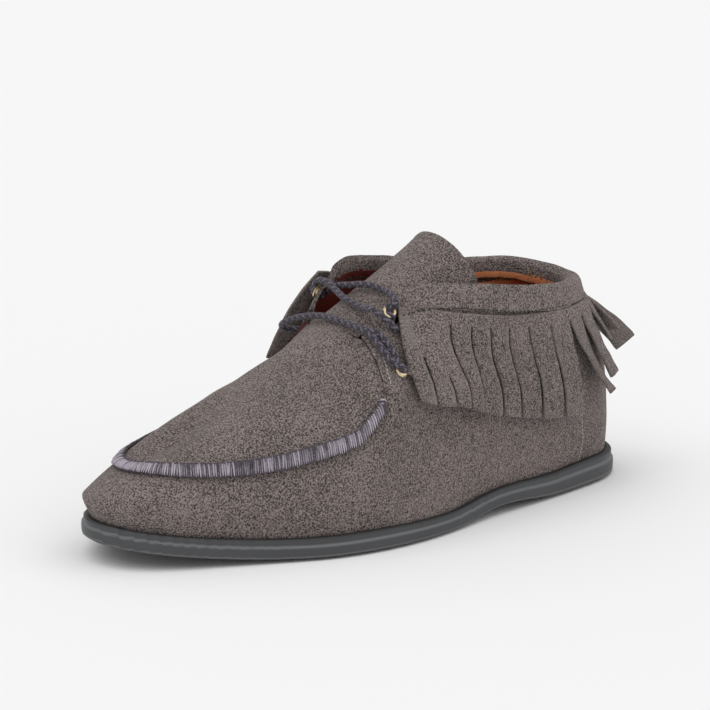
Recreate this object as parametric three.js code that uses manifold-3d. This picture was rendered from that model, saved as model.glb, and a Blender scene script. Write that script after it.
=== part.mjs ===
// Fringe ankle boot, left foot, in millimetres.
// +X is the wearer's left (the outer side of this foot), the toe points to -Y and +Z is up.
// The origin is the middle of the heel's flat tread, on the floor.
// A place is given as x, f and z: f is the distance forward of the heel's middle, so y is -f.

import * as THREE from 'three';
import { mergeVertices } from 'three/addons/utils/BufferGeometryUtils.js';
import Module from 'manifold-3d';

const wasm = await Module();
wasm.setup();

// Driving sizes of the last
const soleLength = 250;
const heelOverhang = 33;
const ballWidth = 90;
const collarHeight = 100;
const toeSpring = 9;
const archLift = 3;

// Sole
const heelSoleHeight = 11.6;
const waistSoleHeight = 8.0;
const foreSoleHeight = 8.8;
const recessDepth = 4;
const rimWidth = 1.9;
const rimRound = 1.8;
const edgeRise = 1.4;
const ledgeStep = 0.8;
const edgeDraft = 0.2;
const lipHeight = 0.8;
const treadInset = 3;
const insoleSlack = 0.3;
const wallStandUp = 0.4;

// Materials of the upper
const wall = 1.8;
const facingOverlap = 1.8;
const tongueWall = 2;
const tongueTuck = 2.1;
const insoleThickness = 3;
const gap = 0.3;
const seatGap = 0.35;
const seatLength = 3;

// Collar, fringe, seam, lace and eyelets
const bandLift = 0.35;
const tabHeight = 6.5;
const innerTabHeight = 3.5;
const bandHeight = 10;
const bandBackThickness = 8.5;
const bandFrontThickness = 4;
const bandStandOff = 0.8;
const bandShoulder = 1.1;
const bandFootInset = 0.75;
const bandEndHeight = 0.86;
const stripWidth = 9;
const slitWidth = 0.9;
const stripThickness = 1.3;
const frontStripLength = 38;
const rearStripLength = 46;
const fringeStandOff = 1.2;
const fringeLoose = 1.6;
const fringeTuck = 0.8;
const seamWidth = 5.5;
const seamThickness = 0.9;
const seamLift = 0.65;
const laceDiameter = 3;
const eyeletOuter = 6;
const eyeletBore = 3.4;
const eyeletRing = 0.7;
const eyeletSleeve = 1.2;
const eyeletBevel = 0.5;
const eyeletDepth = 1.2;
const eyeletSeat = 0.25;

// Fineness of the faceting
const columnsPerRow = 3;
const wallSteps = 4;
const facingSteps = 5;
const crownSteps = 3;

const at = (x, f, z) => new THREE.Vector3(x, -f, z);
const up = new THREE.Vector3(0, 0, 1);
const smooth = (x, low, high) => THREE.MathUtils.smoothstep(x, low, high);
const mix = (a, b, t) => a + (b - a) * t;

// Gives each row of a table its column names
function table(columns, rows) {
  return rows.map((row) => Object.fromEntries(columns.map((name, i) => [name, row[i]])));
}

const place = (row) => at(
  row.x * ballWidth,
  row.f * soleLength - heelOverhang,
  row.z * collarHeight,
);

// Rows of the side wall from the heel to the toe.
// along: where the row leaves the sole, a share of its length. width: the sole's half width there.
// bulge: how far the wall swells over the sole. x, f, z: the row's point at the apron seam,
// or half way up the quarter. x, width and bulge are shares of the ball width, f of the sole
// length and z of the collar height.
const wallColumns = ['along', 'width', 'bulge', 'x', 'f', 'z'];
const outerWall = table(wallColumns, [
  [0.020, 0.150, 0.020, 0.110, 0.043, 0.48],
  [0.060, 0.233, 0.020, 0.200, 0.080, 0.48],
  [0.120, 0.285, 0.018, 0.262, 0.134, 0.48],
  [0.200, 0.336, 0.010, 0.303, 0.200, 0.48],
  [0.280, 0.382, 0.004, 0.325, 0.280, 0.49],
  [0.360, 0.422, 0.004, 0.348, 0.360, 0.50],
  [0.440, 0.482, 0.006, 0.378, 0.438, 0.52],
  [0.510, 0.522, 0.012, 0.410, 0.508, 0.54],
  [0.570, 0.534, 0.024, 0.437, 0.568, 0.57],
  [0.620, 0.528, 0.028, 0.450, 0.616, 0.455],
  [0.680, 0.500, 0.030, 0.420, 0.684, 0.410],
  [0.760, 0.419, 0.030, 0.350, 0.758, 0.375],
  [0.840, 0.333, 0.034, 0.254, 0.836, 0.362],
  [0.910, 0.256, 0.054, 0.182, 0.896, 0.372],
  [0.960, 0.172, 0.082, 0.090, 0.922, 0.370],
  [0.988, 0.078, 0.099, 0.032, 0.929, 0.362],
]);
const innerWall = table(wallColumns, [
  [0.020, 0.155, 0.020, 0.112, 0.043, 0.48],
  [0.060, 0.240, 0.020, 0.203, 0.080, 0.48],
  [0.120, 0.296, 0.018, 0.266, 0.134, 0.48],
  [0.200, 0.317, 0.012, 0.300, 0.200, 0.48],
  [0.280, 0.306, 0.018, 0.308, 0.280, 0.49],
  [0.360, 0.283, 0.030, 0.310, 0.360, 0.50],
  [0.440, 0.278, 0.040, 0.318, 0.440, 0.52],
  [0.510, 0.300, 0.040, 0.330, 0.508, 0.54],
  [0.570, 0.345, 0.034, 0.348, 0.570, 0.57],
  [0.620, 0.390, 0.030, 0.362, 0.622, 0.480],
  [0.680, 0.444, 0.028, 0.372, 0.686, 0.435],
  [0.760, 0.467, 0.028, 0.372, 0.762, 0.390],
  [0.840, 0.444, 0.030, 0.332, 0.838, 0.356],
  [0.910, 0.378, 0.052, 0.252, 0.892, 0.346],
  [0.960, 0.270, 0.076, 0.150, 0.920, 0.346],
  [0.988, 0.160, 0.094, 0.084, 0.928, 0.350],
]);
const heelRow = { bulge: 0.020, x: 0, f: 0.028, z: 0.48 };
const toeRow = { bulge: 0.104, x: -0.026, f: 0.930, z: 0.354, tip: -0.042 };

// The top of the quarter, where the collar band is sewn on, and the facing at its front end.
// puff: how far the wall stands out between its middle and its top.
const topColumns = ['x', 'f', 'z', 'puff'];
const outerTop = table(topColumns, [
  [0.100, 0.096, 0.800, 0.004],
  [0.188, 0.122, 0.798, 0.004],
  [0.252, 0.162, 0.798, 0.002],
  [0.294, 0.214, 0.806, 0.000],
  [0.318, 0.280, 0.822, -0.002],
  [0.325, 0.355, 0.852, -0.004],
  [0.306, 0.440, 0.878, 0.004],
  [0.218, 0.494, 0.858, 0.030],
]);
const innerTop = table(topColumns, [
  [0.100, 0.096, 0.812, 0.004],
  [0.190, 0.122, 0.826, 0.004],
  [0.256, 0.162, 0.834, 0.002],
  [0.298, 0.214, 0.832, 0.002],
  [0.316, 0.280, 0.834, 0.006],
  [0.320, 0.355, 0.868, 0.008],
  [0.306, 0.440, 0.900, 0.014],
  [0.252, 0.504, 0.898, 0.034],
]);
const heelTop = { x: 0, f: 0.087, z: 0.801, puff: 0.004 };

// The ridge over the forefoot, from the throat to the toe.
const ridgeRows = table(['x', 'f', 'z'], [
  [-0.040, 0.584, 0.775],
  [-0.050, 0.624, 0.720],
  [-0.058, 0.670, 0.651],
  [-0.062, 0.728, 0.570],
  [-0.060, 0.788, 0.480],
  [-0.052, 0.836, 0.412],
  [-0.042, 0.866, 0.386],
  [-0.036, 0.884, 0.375],
  [-0.032, 0.898, 0.368],
]);
// Half way between seam and ridge: the point leaves a straight line by crown, up, and sweep, back.
const crownRows = table(['crown', 'sweep', 'innerCrown', 'innerSweep'], [
  [0.100, 0.016, 0.105, 0.014],
  [0.082, 0.010, 0.078, 0.010],
  [0.066, 0.004, 0.066, 0.004],
  [0.052, 0.000, 0.056, 0.000],
  [0.038, 0.000, 0.042, 0.000],
  [0.026, 0.000, 0.030, 0.000],
  [0.016, 0.000, 0.018, 0.000],
  [0.011, 0.000, 0.012, 0.000],
  [0.009, 0.000, 0.009, 0.000],
]);

// Row numbers run round the shoe: 0 is the heel, toeIndex the toe, and the inner side comes back.
const facingIndex = outerTop.length + 1;
const toeIndex = outerWall.length + 1;
const rowCount = 2 * toeIndex;
const columnCount = rowCount * columnsPerRow;
const isOuter = (row) => row <= toeIndex;
const sideIndex = (row) => (isOuter(row) ? row : rowCount - row);
const wrap = (row) => ((row % rowCount) + rowCount) % rowCount;

function wallRow(index) {
  const side = isOuter(index) ? 1 : -1;
  const i = sideIndex(index);
  if (i === 0) return { ...heelRow, along: 0, width: 0, side: 1 };
  if (i === toeIndex) return { ...toeRow, along: 1, width: toeRow.tip, side: 1 };
  const row = (side > 0 ? outerWall : innerWall)[i - 1];
  return { ...row, side };
}

const loopOf = (points) => new THREE.CatmullRomCurve3(points, true, 'centripetal');
const openOf = (points) => new THREE.CatmullRomCurve3(points, false, 'centripetal');
const rowNumbers = Array.from({ length: rowCount }, (_, i) => i);
const alongLoop = (curve, row) => curve.getPoint(wrap(row) / rowCount);

// The sole's outline, and the same moved inwards
const outlineCurve = loopOf(rowNumbers.map((i) => {
  const row = wallRow(i);
  return at(row.side * row.width * ballWidth, row.along * soleLength - heelOverhang, 0);
}));

function outline(row, inset) {
  const point = alongLoop(outlineCurve, row);
  const ahead = alongLoop(outlineCurve, row + 0.02);
  const behind = alongLoop(outlineCurve, row - 0.02);
  const run = ahead.sub(behind).normalize();
  // the rows run heel, outer side, toe, so the inside lies to the right hand
  const inward = new THREE.Vector3(run.y, -run.x, 0);
  return { point: point.clone().addScaledVector(inward, inset), inward };
}

// The underside: flat heel and ball, lifted at the arch and the toe
function lift(f) {
  const share = (f + heelOverhang) / soleLength;
  const archFrom = 0.18;
  const archTo = 0.46;
  const springFrom = 0.70;
  if (share > springFrom) return toeSpring * ((share - springFrom) / (1 - springFrom)) ** 1.8;
  if (share < archFrom || share > archTo) return 0;
  return archLift * Math.sin(Math.PI * (share - archFrom) / (archTo - archFrom)) ** 2;
}
function soleHeight(f) {
  const share = (f + heelOverhang) / soleLength;
  const rear = mix(heelSoleHeight, waistSoleHeight, smooth(share, 0.10, 0.36));
  return mix(rear, foreSoleHeight, smooth(share, 0.44, 0.62));
}
const rimTop = (f) => lift(f) + soleHeight(f);
const recessFloor = (f) => rimTop(f) - recessDepth;
const innerRim = rimRound + rimWidth;

const columns = Array.from({ length: columnCount }, (_, c) => c / columnsPerRow);

// Collects triangles by vertex, merges what coincides and makes the mesh geometry
function solid(triangles) {
  const geometry = new THREE.BufferGeometry();
  const flat = triangles.flat().flatMap((p) => [p.x, p.y, p.z]);
  geometry.setAttribute('position', new THREE.Float32BufferAttribute(flat, 3));
  const merged = mergeVertices(geometry, 1e-3);
  const index = merged.index.array;
  const kept = [];
  for (let i = 0; i < index.length; i += 3) {
    const [a, b, c] = [index[i], index[i + 1], index[i + 2]];
    if (a !== b && b !== c && c !== a) kept.push(a, b, c);
  }
  merged.setIndex(kept);
  return merged;
}

const quad = (a, b, c, d) => [[a, b, c], [a, c, d]];

// Rings of points, one above the other, closed below and above by a ladder from side to side
function stacked(rings) {
  const triangles = [];
  const n = rings[0].length;
  for (let k = 0; k + 1 < rings.length; k += 1) {
    for (let i = 0; i < n; i += 1) {
      const j = (i + 1) % n;
      triangles.push(...quad(rings[k][j], rings[k][i], rings[k + 1][i], rings[k + 1][j]));
    }
  }
  const ladder = (ring, flip) => {
    for (let i = 0; i < n / 2; i += 1) {
      const far = (n - i) % n;
      const rung = quad(ring[i], ring[far], ring[n - i - 1], ring[i + 1]);
      rung.forEach((t) => triangles.push(flip ? [t[0], t[2], t[1]] : t));
    }
  };
  ladder(rings[0], true);
  ladder(rings[rings.length - 1], false);
  return solid(triangles);
}

// One level of the sole: an inset of the outline at a height that may follow f
function level(inset, height) {
  return columns.map((row) => {
    const { point } = outline(row, inset);
    point.z = height(-point.y);
    return point;
  });
}

// Heights on the sole's side, as shares of its thickness
const sideShares = { widest: 0.45, ledge: 0.62, groove: 0.68 };
function soleGeometry() {
  const share = (part) => (f) => lift(f) + part * soleHeight(f);
  return stacked([
    level(treadInset, lift),
    level(edgeDraft, (f) => lift(f) + edgeRise),
    level(0, share(sideShares.widest)),
    level(edgeDraft, share(sideShares.ledge)),
    level(edgeDraft + ledgeStep, share(sideShares.groove)),
    level(edgeDraft + ledgeStep, (f) => rimTop(f) - lipHeight),
    level(rimRound, rimTop),
    level(innerRim, rimTop),
    level(innerRim, recessFloor),
  ]);
}

function insoleGeometry() {
  const inset = innerRim + gap + wall + gap + insoleSlack;
  const below = (f) => recessFloor(f) + gap;
  return stacked([
    level(inset, below),
    level(inset, (f) => below(f) + insoleThickness),
  ]);
}

// Points of the wall that the rows hold
const footPoint = (row) => {
  const { point } = outline(row, innerRim + gap);
  point.z = rimTop(-point.y) + wallStandUp;
  return point;
};
const seamCurve = loopOf(rowNumbers.map((i) => {
  const row = wallRow(i);
  return place({ ...row, x: row.x * row.side });
}));
const bulgeCurve = loopOf(rowNumbers.map((i) => at(wallRow(i).bulge * ballWidth, 0, 0)));
const seamPoint = (row) => alongLoop(seamCurve, row);
const bellyShare = 0.42;
function bellyPoint(row) {
  const foot = footPoint(row);
  const seam = seamPoint(row);
  const { inward } = outline(row, 0);
  const belly = foot.clone().lerp(seam, bellyShare);
  return belly.addScaledVector(inward, -alongLoop(bulgeCurve, row).x);
}

// The quarter: rows from the inner facing round the heel to the outer facing
const shoulderShare = 0.48;
const innerShoulderShare = 0.44;
function shoulderAt(index) {
  const i = sideIndex(index);
  const outer = isOuter(index);
  const row = crownRows[i - facingIndex];
  const seam = seamPoint(index);
  const head = place(ridgeRows[i - facingIndex]);
  const point = seam.lerp(head, outer ? shoulderShare : innerShoulderShare);
  point.z += (outer ? row.crown : row.innerCrown) * collarHeight;
  point.y += (outer ? row.sweep : row.innerSweep) * soleLength;
  return point;
}
const vampNumbers = Array.from(
  { length: 2 * (toeIndex - facingIndex) + 1 },
  (_, i) => facingIndex + i,
);
const shoulderCurve = openOf(vampNumbers.map(shoulderAt));
const ridgeCurve = openOf(ridgeRows.map(place));
const vampShare = (row) => (row - facingIndex) / (2 * (toeIndex - facingIndex));
const shoulderPoint = (row) => shoulderCurve.getPoint(vampShare(row));
const ridgePoint = (row) => {
  const share = (sideIndex(row) - facingIndex) / (toeIndex - facingIndex);
  return ridgeCurve.getPoint(Math.min(Math.max(share, 0), 1));
};

// The rib of a vamp row, from the sole to the ridge and on to the other side's shoulder
function vampRib(row) {
  const rib = openOf([
    footPoint(row), bellyPoint(row), seamPoint(row),
    shoulderPoint(row), ridgePoint(row), shoulderPoint(rowCount - row),
  ]);
  return (stage) => rib.getPoint(stage / 5);
}

// Signed rows of the quarter run from -facingIndex, the inner facing, to facingIndex, the outer
function quarterTopRow(signed) {
  const i = Math.abs(signed);
  if (i === 0) return { ...heelTop };
  const row = (signed > 0 ? outerTop : innerTop)[i - 1];
  return { ...row, x: row.x * Math.sign(signed) };
}
const quarterNumbers = Array.from({ length: 2 * facingIndex + 1 }, (_, i) => i - facingIndex);
const facingRow = (signed) => (signed > 0 ? facingIndex : rowCount - facingIndex);
const headCurve = openOf(quarterNumbers.map((signed) => {
  if (Math.abs(signed) < facingIndex) return place(quarterTopRow(signed));
  return shoulderPoint(facingRow(signed));
}));
const puffCurve = openOf(quarterNumbers.map((signed) => {
  if (Math.abs(signed) === facingIndex) return vampRib(facingRow(signed))(2.5);
  const top = quarterTopRow(signed);
  const seam = seamPoint(wrap(signed));
  const { inward } = outline(wrap(signed), 0);
  return seam.lerp(place(top), 0.5).addScaledVector(inward, -top.puff * ballWidth);
}));
const quarterShare = (signed) => (signed + facingIndex) / (2 * facingIndex);
// The facing stands up as a small tab in front of the band's end
const headPoint = (signed) => {
  const point = headCurve.getPoint(quarterShare(signed));
  const fromBand = Math.max(Math.abs(signed) - (facingIndex - 1), 0);
  const tab = signed > 0 ? tabHeight : innerTabHeight;
  point.z += tab * Math.sin(Math.PI * Math.min(fromBand, 1) ** 0.6);
  return point;
};
function quarterRib(signed) {
  const row = wrap(signed);
  const rib = openOf([
    footPoint(row), bellyPoint(row), seamPoint(row),
    puffCurve.getPoint(quarterShare(signed)), headPoint(signed),
  ]);
  return (stage) => rib.getPoint(stage / 4);
}

// A skin is a net of points with quads between them. It gets a wall by moving its points
// along their normals, and its free edges are closed.
class Skin {
  constructor() {
    this.points = [];
    this.quads = [];
  }

  add(position, outer, inner) {
    this.points.push({ position, outer, inner, normal: new THREE.Vector3() });
    return this.points.length - 1;
  }

  cell(a, b, c, d) {
    this.quads.push([a, b, c, d]);
  }

  normals() {
    const shared = new Map();
    const keyOf = (p) => [p.x, p.y, p.z].map((v) => Math.round(v * 500)).join();
    this.quads.forEach((ids) => {
      const [a, b, c, d] = ids.map((id) => this.points[id].position);
      const normal = c.clone().sub(a).cross(d.clone().sub(b));
      ids.forEach((id) => {
        const key = keyOf(this.points[id].position);
        if (!shared.has(key)) shared.set(key, new THREE.Vector3());
        shared.get(key).add(normal);
      });
    });
    this.points.forEach((point) => {
      const sum = shared.get(keyOf(point.position));
      point.normal = sum.clone();
      if (point.level) point.normal.z = 0;
      point.normal.normalize();
    });
  }

  geometry() {
    this.normals();
    const side = (name) => this.points.map((p) => {
      return p.position.clone().addScaledVector(p.normal, p[name]);
    });
    const outer = side('outer');
    const inner = side('inner');
    const triangles = [];
    const edges = new Map();
    this.quads.forEach((ids) => {
      const [a, b, c, d] = ids;
      triangles.push(...quad(outer[a], outer[b], outer[c], outer[d]));
      triangles.push(...quad(inner[d], inner[c], inner[b], inner[a]));
      ids.forEach((id, i) => {
        const next = ids[(i + 1) % 4];
        if (id === next) return;
        const key = [Math.min(id, next), Math.max(id, next)].join();
        if (edges.has(key)) edges.set(key, null);
        else edges.set(key, [id, next]);
      });
    });
    edges.forEach((edge) => {
      if (!edge) return;
      const [a, b] = edge;
      triangles.push(...quad(outer[b], outer[a], inner[a], inner[b]));
    });
    return solid(triangles);
  }
}

// The upper: side wall, quarters and the closed apron over the forefoot, in one hollow wall
function upperSkin() {
  const skin = new Skin();
  const net = [];
  const lowest = (row) => {
    const point = footPoint(row);
    point.z = recessFloor(-point.y) + gap;
    return point;
  };
  const facingColumn = facingIndex * columnsPerRow;
  const farFacingColumn = columnCount - facingColumn;
  const ridgeIds = new Map();

  columns.forEach((row, c) => {
    const inVamp = c >= facingColumn && c <= farFacingColumn;
    const signed = c > columnCount / 2 ? row - rowCount : row;
    const rib = inVamp ? vampRib(row) : quarterRib(signed);
    const fromFacing = Math.abs(facingIndex - Math.abs(signed)) * columnsPerRow;
    const lapped = inVamp ? 0 : Math.min(fromFacing, 1);
    const ids = [];
    const put = (position, rise) => ids.push(skin.add(
      position,
      facingOverlap * rise * lapped,
      -wall + (facingOverlap + gap) * rise * lapped,
    ));
    put(lowest(row), 0);
    skin.points[ids[0]].level = true;
    for (let k = 0; k <= wallSteps; k += 1) {
      put(rib(2 * k / wallSteps), smooth(k / wallSteps, 0.6, 1));
    }
    skin.points[ids[1]].level = true;
    const upSteps = inVamp ? facingSteps + crownSteps : facingSteps;
    for (let k = 1; k <= upSteps; k += 1) {
      let stage = 2 + 2 * k / facingSteps;
      if (inVamp) stage = k <= facingSteps ? 2 + k / facingSteps : 3 + (k - facingSteps) / crownSteps;
      const ridge = inVamp && k === upSteps;
      const key = Math.min(c, columnCount - c);
      if (ridge && ridgeIds.has(key)) {
        ids.push(ridgeIds.get(key));
      } else {
        put(rib(stage), 1);
        if (ridge) ridgeIds.set(key, ids[ids.length - 1]);
      }
    }
    net.push(ids);
  });

  // The lapped edge of each facing: the vamp's points again, raised by the overlap
  const lapEdge = (column) => net[column].slice(0, wallSteps + 2).concat(
    net[column].slice(wallSteps + 2, wallSteps + 2 + facingSteps).map((id) => {
      return skin.add(skin.points[id].position.clone(), facingOverlap, -wall);
    }),
  );
  const laps = { [facingColumn]: lapEdge(facingColumn), [farFacingColumn]: lapEdge(farFacingColumn) };

  const strip = (left, right) => {
    const steps = Math.min(left.length, right.length) - 1;
    for (let k = 0; k < steps; k += 1) {
      skin.cell(right[k], left[k], left[k + 1], right[k + 1]);
    }
  };
  columns.forEach((row, c) => {
    const next = (c + 1) % columnCount;
    const left = c === farFacingColumn ? laps[c] : net[c];
    const right = next === facingColumn ? laps[next] : net[next];
    strip(left, right);
  });
  strip(laps[facingColumn], net[facingColumn].slice(0, laps[facingColumn].length));
  strip(net[farFacingColumn].slice(0, laps[farFacingColumn].length), laps[farFacingColumn]);
  return skin;
}

const upper = upperSkin();

// The tongue: cross-sections from the throat's front to its rounded top.
// ridgeF, ridgeZ: the middle of a section. x, f, z: its side edges, tucked under the facings.
const tongueRows = table(['ridgeF', 'ridgeZ', 'x', 'f', 'z'], [
  [0.538, 0.860, 0.214, 0.514, 0.780],
  [0.508, 0.910, 0.222, 0.480, 0.792],
  [0.474, 0.962, 0.230, 0.446, 0.818],
  [0.442, 1.006, 0.240, 0.414, 0.848],
  [0.414, 1.050, 0.246, 0.384, 0.880],
  [0.390, 1.092, 0.244, 0.360, 0.912],
  [0.372, 1.124, 0.238, 0.342, 0.945],
]);
const tongueSide = 2 * crownSteps;

function tongueSkin() {
  const skin = new Skin();
  const addRow = (points) => points.map((point) => skin.add(point, 0, -tongueWall));
  const rear = facingIndex;
  const front = (signed, stage) => vampRib(wrap(signed))(stage);
  const seat = [];
  const second = [];
  for (let j = 0; j <= tongueSide; j += 1) {
    const outer = j <= crownSteps;
    const step = outer ? j : tongueSide - j;
    const point = front(outer ? rear : -rear, 3 + step / crownSteps);
    const ahead = front(outer ? rear + 0.1 : -rear - 0.1, 3 + step / crownSteps);
    const back = point.clone().sub(ahead).normalize();
    seat.push(point.clone().addScaledVector(back, seatGap));
    second.push(point.clone().addScaledVector(back, seatGap + seatLength));
  }
  const tuck = (points, amount) => [[0, 1], [tongueSide, tongueSide - 1]].forEach(([end, next]) => {
    points[end].addScaledVector(points[next].clone().sub(points[end]).normalize(), amount);
  });
  tuck(seat, tongueTuck);
  tuck(second, tongueTuck);
  const rows = [seat, second];
  tongueRows.forEach((row) => {
    const middle = place({ x: -0.02, f: row.ridgeF, z: row.ridgeZ });
    const points = [];
    for (let j = 0; j <= tongueSide; j += 1) {
      const turn = (1 - j / crownSteps) * Math.PI / 2;
      const edge = place({ x: Math.sign(turn) * row.x, f: row.f, z: row.z });
      const fall = 1 - Math.cos(turn);
      points.push(new THREE.Vector3(
        mix(middle.x, edge.x, Math.abs(Math.sin(turn))),
        mix(middle.y, edge.y, fall),
        mix(middle.z, edge.z, fall),
      ));
    }
    points[crownSteps].copy(middle);
    rows.push(points);
  });
  const ids = rows.map(addRow);
  for (let k = 0; k + 1 < ids.length; k += 1) {
    for (let j = 0; j < tongueSide; j += 1) {
      skin.cell(ids[k][j], ids[k + 1][j], ids[k + 1][j + 1], ids[k][j + 1]);
    }
  }
  return skin;
}

// Directions at a place of the quarter: outwards from the wall and up along it
function quarterFrame(signed, stage) {
  const point = quarterRib(signed)(stage);
  const higher = quarterRib(signed)(Math.min(stage + 0.05, 4));
  const lower = quarterRib(signed)(stage - 0.05);
  const rise = higher.sub(lower).normalize();
  const limit = facingIndex - 0.01;
  const ahead = quarterRib(Math.min(signed + 0.05, limit))(stage);
  const behind = quarterRib(Math.max(signed - 0.05, -limit))(stage);
  const run = ahead.sub(behind).normalize();
  const out = rise.clone().cross(run).normalize();
  return { point, rise, out };
}

// The collar band: a padded roll on the quarter's top edge, open at the throat
const bandRows = 36;
const bandEnd = facingIndex - 1.02;
function bandGeometry() {
  const rings = [];
  for (let i = 0; i <= bandRows; i += 1) {
    const signed = mix(bandEnd, -bandEnd, i / bandRows);
    const { point, rise, out } = quarterFrame(signed, 4);
    const nearEnd = 1 - smooth(Math.abs(signed), bandEnd - 0.5, bandEnd);
    const thick = mix(bandFrontThickness, bandBackThickness, 1 - smooth(Math.abs(signed), 1, 6));
    const lean = rise.clone().add(up).normalize();
    const flat = out.clone().addScaledVector(lean, -out.dot(lean)).normalize();
    const outer = facingOverlap + bandStandOff;
    const inner = outer - thick;
    const tall = bandHeight * mix(bandEndHeight, 1, nearEnd);
    // distance outwards, and height as a share of the band's
    const section = [
      [outer, 0.24], [outer, 0.62], [outer - bandShoulder, 0.88], [mix(inner, outer, 0.5), 1],
      [inner + bandShoulder, 0.9], [inner, 0.62], [inner, 0.27],
    ];
    const foot = (n) => point.clone().addScaledVector(out, n).addScaledVector(rise, gap + bandLift);
    rings.push([
      foot(outer - bandFootInset),
      ...section.map(([n, u]) => point.clone().addScaledVector(flat, n).addScaledVector(lean, u * tall)),
      foot(inner + bandFootInset),
    ]);
  }
  const triangles = [];
  const n = rings[0].length;
  for (let k = 0; k + 1 < rings.length; k += 1) {
    for (let i = 0; i < n; i += 1) {
      const j = (i + 1) % n;
      triangles.push(...quad(rings[k][j], rings[k][i], rings[k + 1][i], rings[k + 1][j]));
    }
  }
  const last = rings[rings.length - 1];
  for (let i = 1; i + 1 < n; i += 1) {
    triangles.push([rings[0][0], rings[0][i], rings[0][i + 1]]);
    triangles.push([last[0], last[i + 1], last[i]]);
  }
  return solid(triangles);
}

// The fringe: a tape under the band with strips cut below it, standing off the quarter.
// Slits start at one of the levels below; the first panel at the front is only cut at its foot.
const fringeLevels = [0, 0.12, 0.3, 0.5, 0.68, 0.84, 1];
const frontSlitLevels = [3, 4];
const fringeEnd = facingIndex - 0.95;
const fringeFlare = 7;
// The loose front end on the inner side swings out and forward
const wingOut = 8;
const wingForward = 13;
const wingLift = 2;
// Strips that fly out behind the heel. swing: degrees away from the wall at the tip.
// length: share of the full strip. bend: how late along the strip the swing comes.
// twist: degrees that its tip turns about its own length.
const flyingStrips = table(['fromHeel', 'swing', 'length', 'bend', 'twist'], [
  [-5, 15, 0.93, 1.4, -30],
  [-4, 11, 0.80, 1.0, -12],
  [-3, 8, 0.48, 0.8, -25],
  [-2, 12, 0.52, 0.5, -40],
  [-1, 23, 0.89, 0.35, -68],
  [0, 2, 0.48, 1.0, -20],
  [1, 4, 0.45, 1.0, 0],
  [2, 2, 0.50, 1.0, 0],
]);
const hanging = { swing: 0, length: 1, bend: 1, twist: 0 };

// The place of a wall that lies a distance below its top edge
function belowHead(signed, wanted) {
  const rib = quarterRib(signed);
  let before = rib(4);
  let travelled = 0;
  for (let stage = 3.9; stage > 0.5; stage -= 0.1) {
    const next = rib(stage);
    const step = next.distanceTo(before);
    if (travelled + step >= wanted) return stage + 0.1 * (1 - (wanted - travelled) / step);
    travelled += step;
    before = next;
  }
  return 0.5;
}

function fringePoint(signed, share, strip = hanging) {
  const away = Math.abs(signed) / fringeEnd;
  const full = mix(rearStripLength, frontStripLength, smooth(away, 0.35, 0.95));
  const farFlare = signed < 0 ? fringeFlare * smooth(-signed, 4, fringeEnd) : 0;
  const hung = (part) => {
    const { point, out } = quarterFrame(signed, belowHead(signed, fringeTuck + part * full * strip.length));
    const stand = facingOverlap + fringeStandOff + fringeLoose * part + farFlare * part ** 1.3;
    return point.addScaledVector(out, stand);
  };
  const root = hung(0);
  const swing = THREE.MathUtils.degToRad(strip.swing) * share ** strip.bend;
  const found = hung(share).sub(root).applyAxisAngle(new THREE.Vector3(1, 0, 0), swing).add(root);
  const wing = smooth(-signed, 6, fringeEnd);
  found.x -= wingOut * wing;
  found.y -= wingForward * wing * share;
  found.z += wingLift * wing;
  return found;
}

// Turns a strip about its middle line, more and more towards its tip
function twistStrip(edges, twist) {
  const [left, right] = edges;
  const middle = left.map((point, k) => point.clone().lerp(right[k], 0.5));
  const axis = middle[middle.length - 1].clone().sub(middle[0]).normalize();
  fringeLevels.forEach((share, k) => {
    const turn = THREE.MathUtils.degToRad(twist) * smooth(share, 0, 0.7);
    [left[k], right[k]].forEach((p) => p.sub(middle[k]).applyAxisAngle(axis, turn).add(middle[k]));
  });
}

function fringeSkin() {
  const skin = new Skin();
  const samples = 240;
  const lengths = [0];
  const middleOf = (i) => fringePoint(mix(fringeEnd, -fringeEnd, i / samples), 0.5);
  for (let i = 1; i <= samples; i += 1) {
    lengths.push(lengths[i - 1] + middleOf(i).distanceTo(middleOf(i - 1)));
  }
  const total = lengths[samples];
  const signedAt = (distance) => {
    const i = lengths.findIndex((value) => value >= distance);
    if (i <= 0) return distance <= 0 ? fringeEnd : -fringeEnd;
    const part = (distance - lengths[i - 1]) / (lengths[i] - lengths[i - 1]);
    return mix(fringeEnd, -fringeEnd, (i - 1 + part) / samples);
  };
  const count = Math.round((total + slitWidth) / (stripWidth + slitWidth));
  const pitch = (total + slitWidth) / count;
  const net = [];
  for (let n = 0; n < count; n += 1) {
    const strip = flyingStrips.find((row) => row.fromHeel === n - Math.floor(count / 2)) ?? hanging;
    const edges = [n * pitch, n * pitch + pitch - slitWidth].map((distance) => {
      const signed = signedAt(Math.min(distance, total));
      return fringeLevels.map((share) => fringePoint(signed, share, strip));
    });
    twistStrip(edges, strip.twist);
    edges.forEach((edge) => net.push(edge.map((point) => skin.add(point, stripThickness, 0))));
  }
  for (let c = 0; c + 1 < net.length; c += 1) {
    const slit = c % 2 === 1;
    const number = (c - 1) / 2;
    const levels = slit ? (frontSlitLevels[number] ?? 1) : fringeLevels.length - 1;
    for (let k = 0; k < levels; k += 1) {
      skin.cell(net[c][k + 1], net[c + 1][k + 1], net[c + 1][k], net[c][k]);
    }
  }
  return skin;
}

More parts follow.
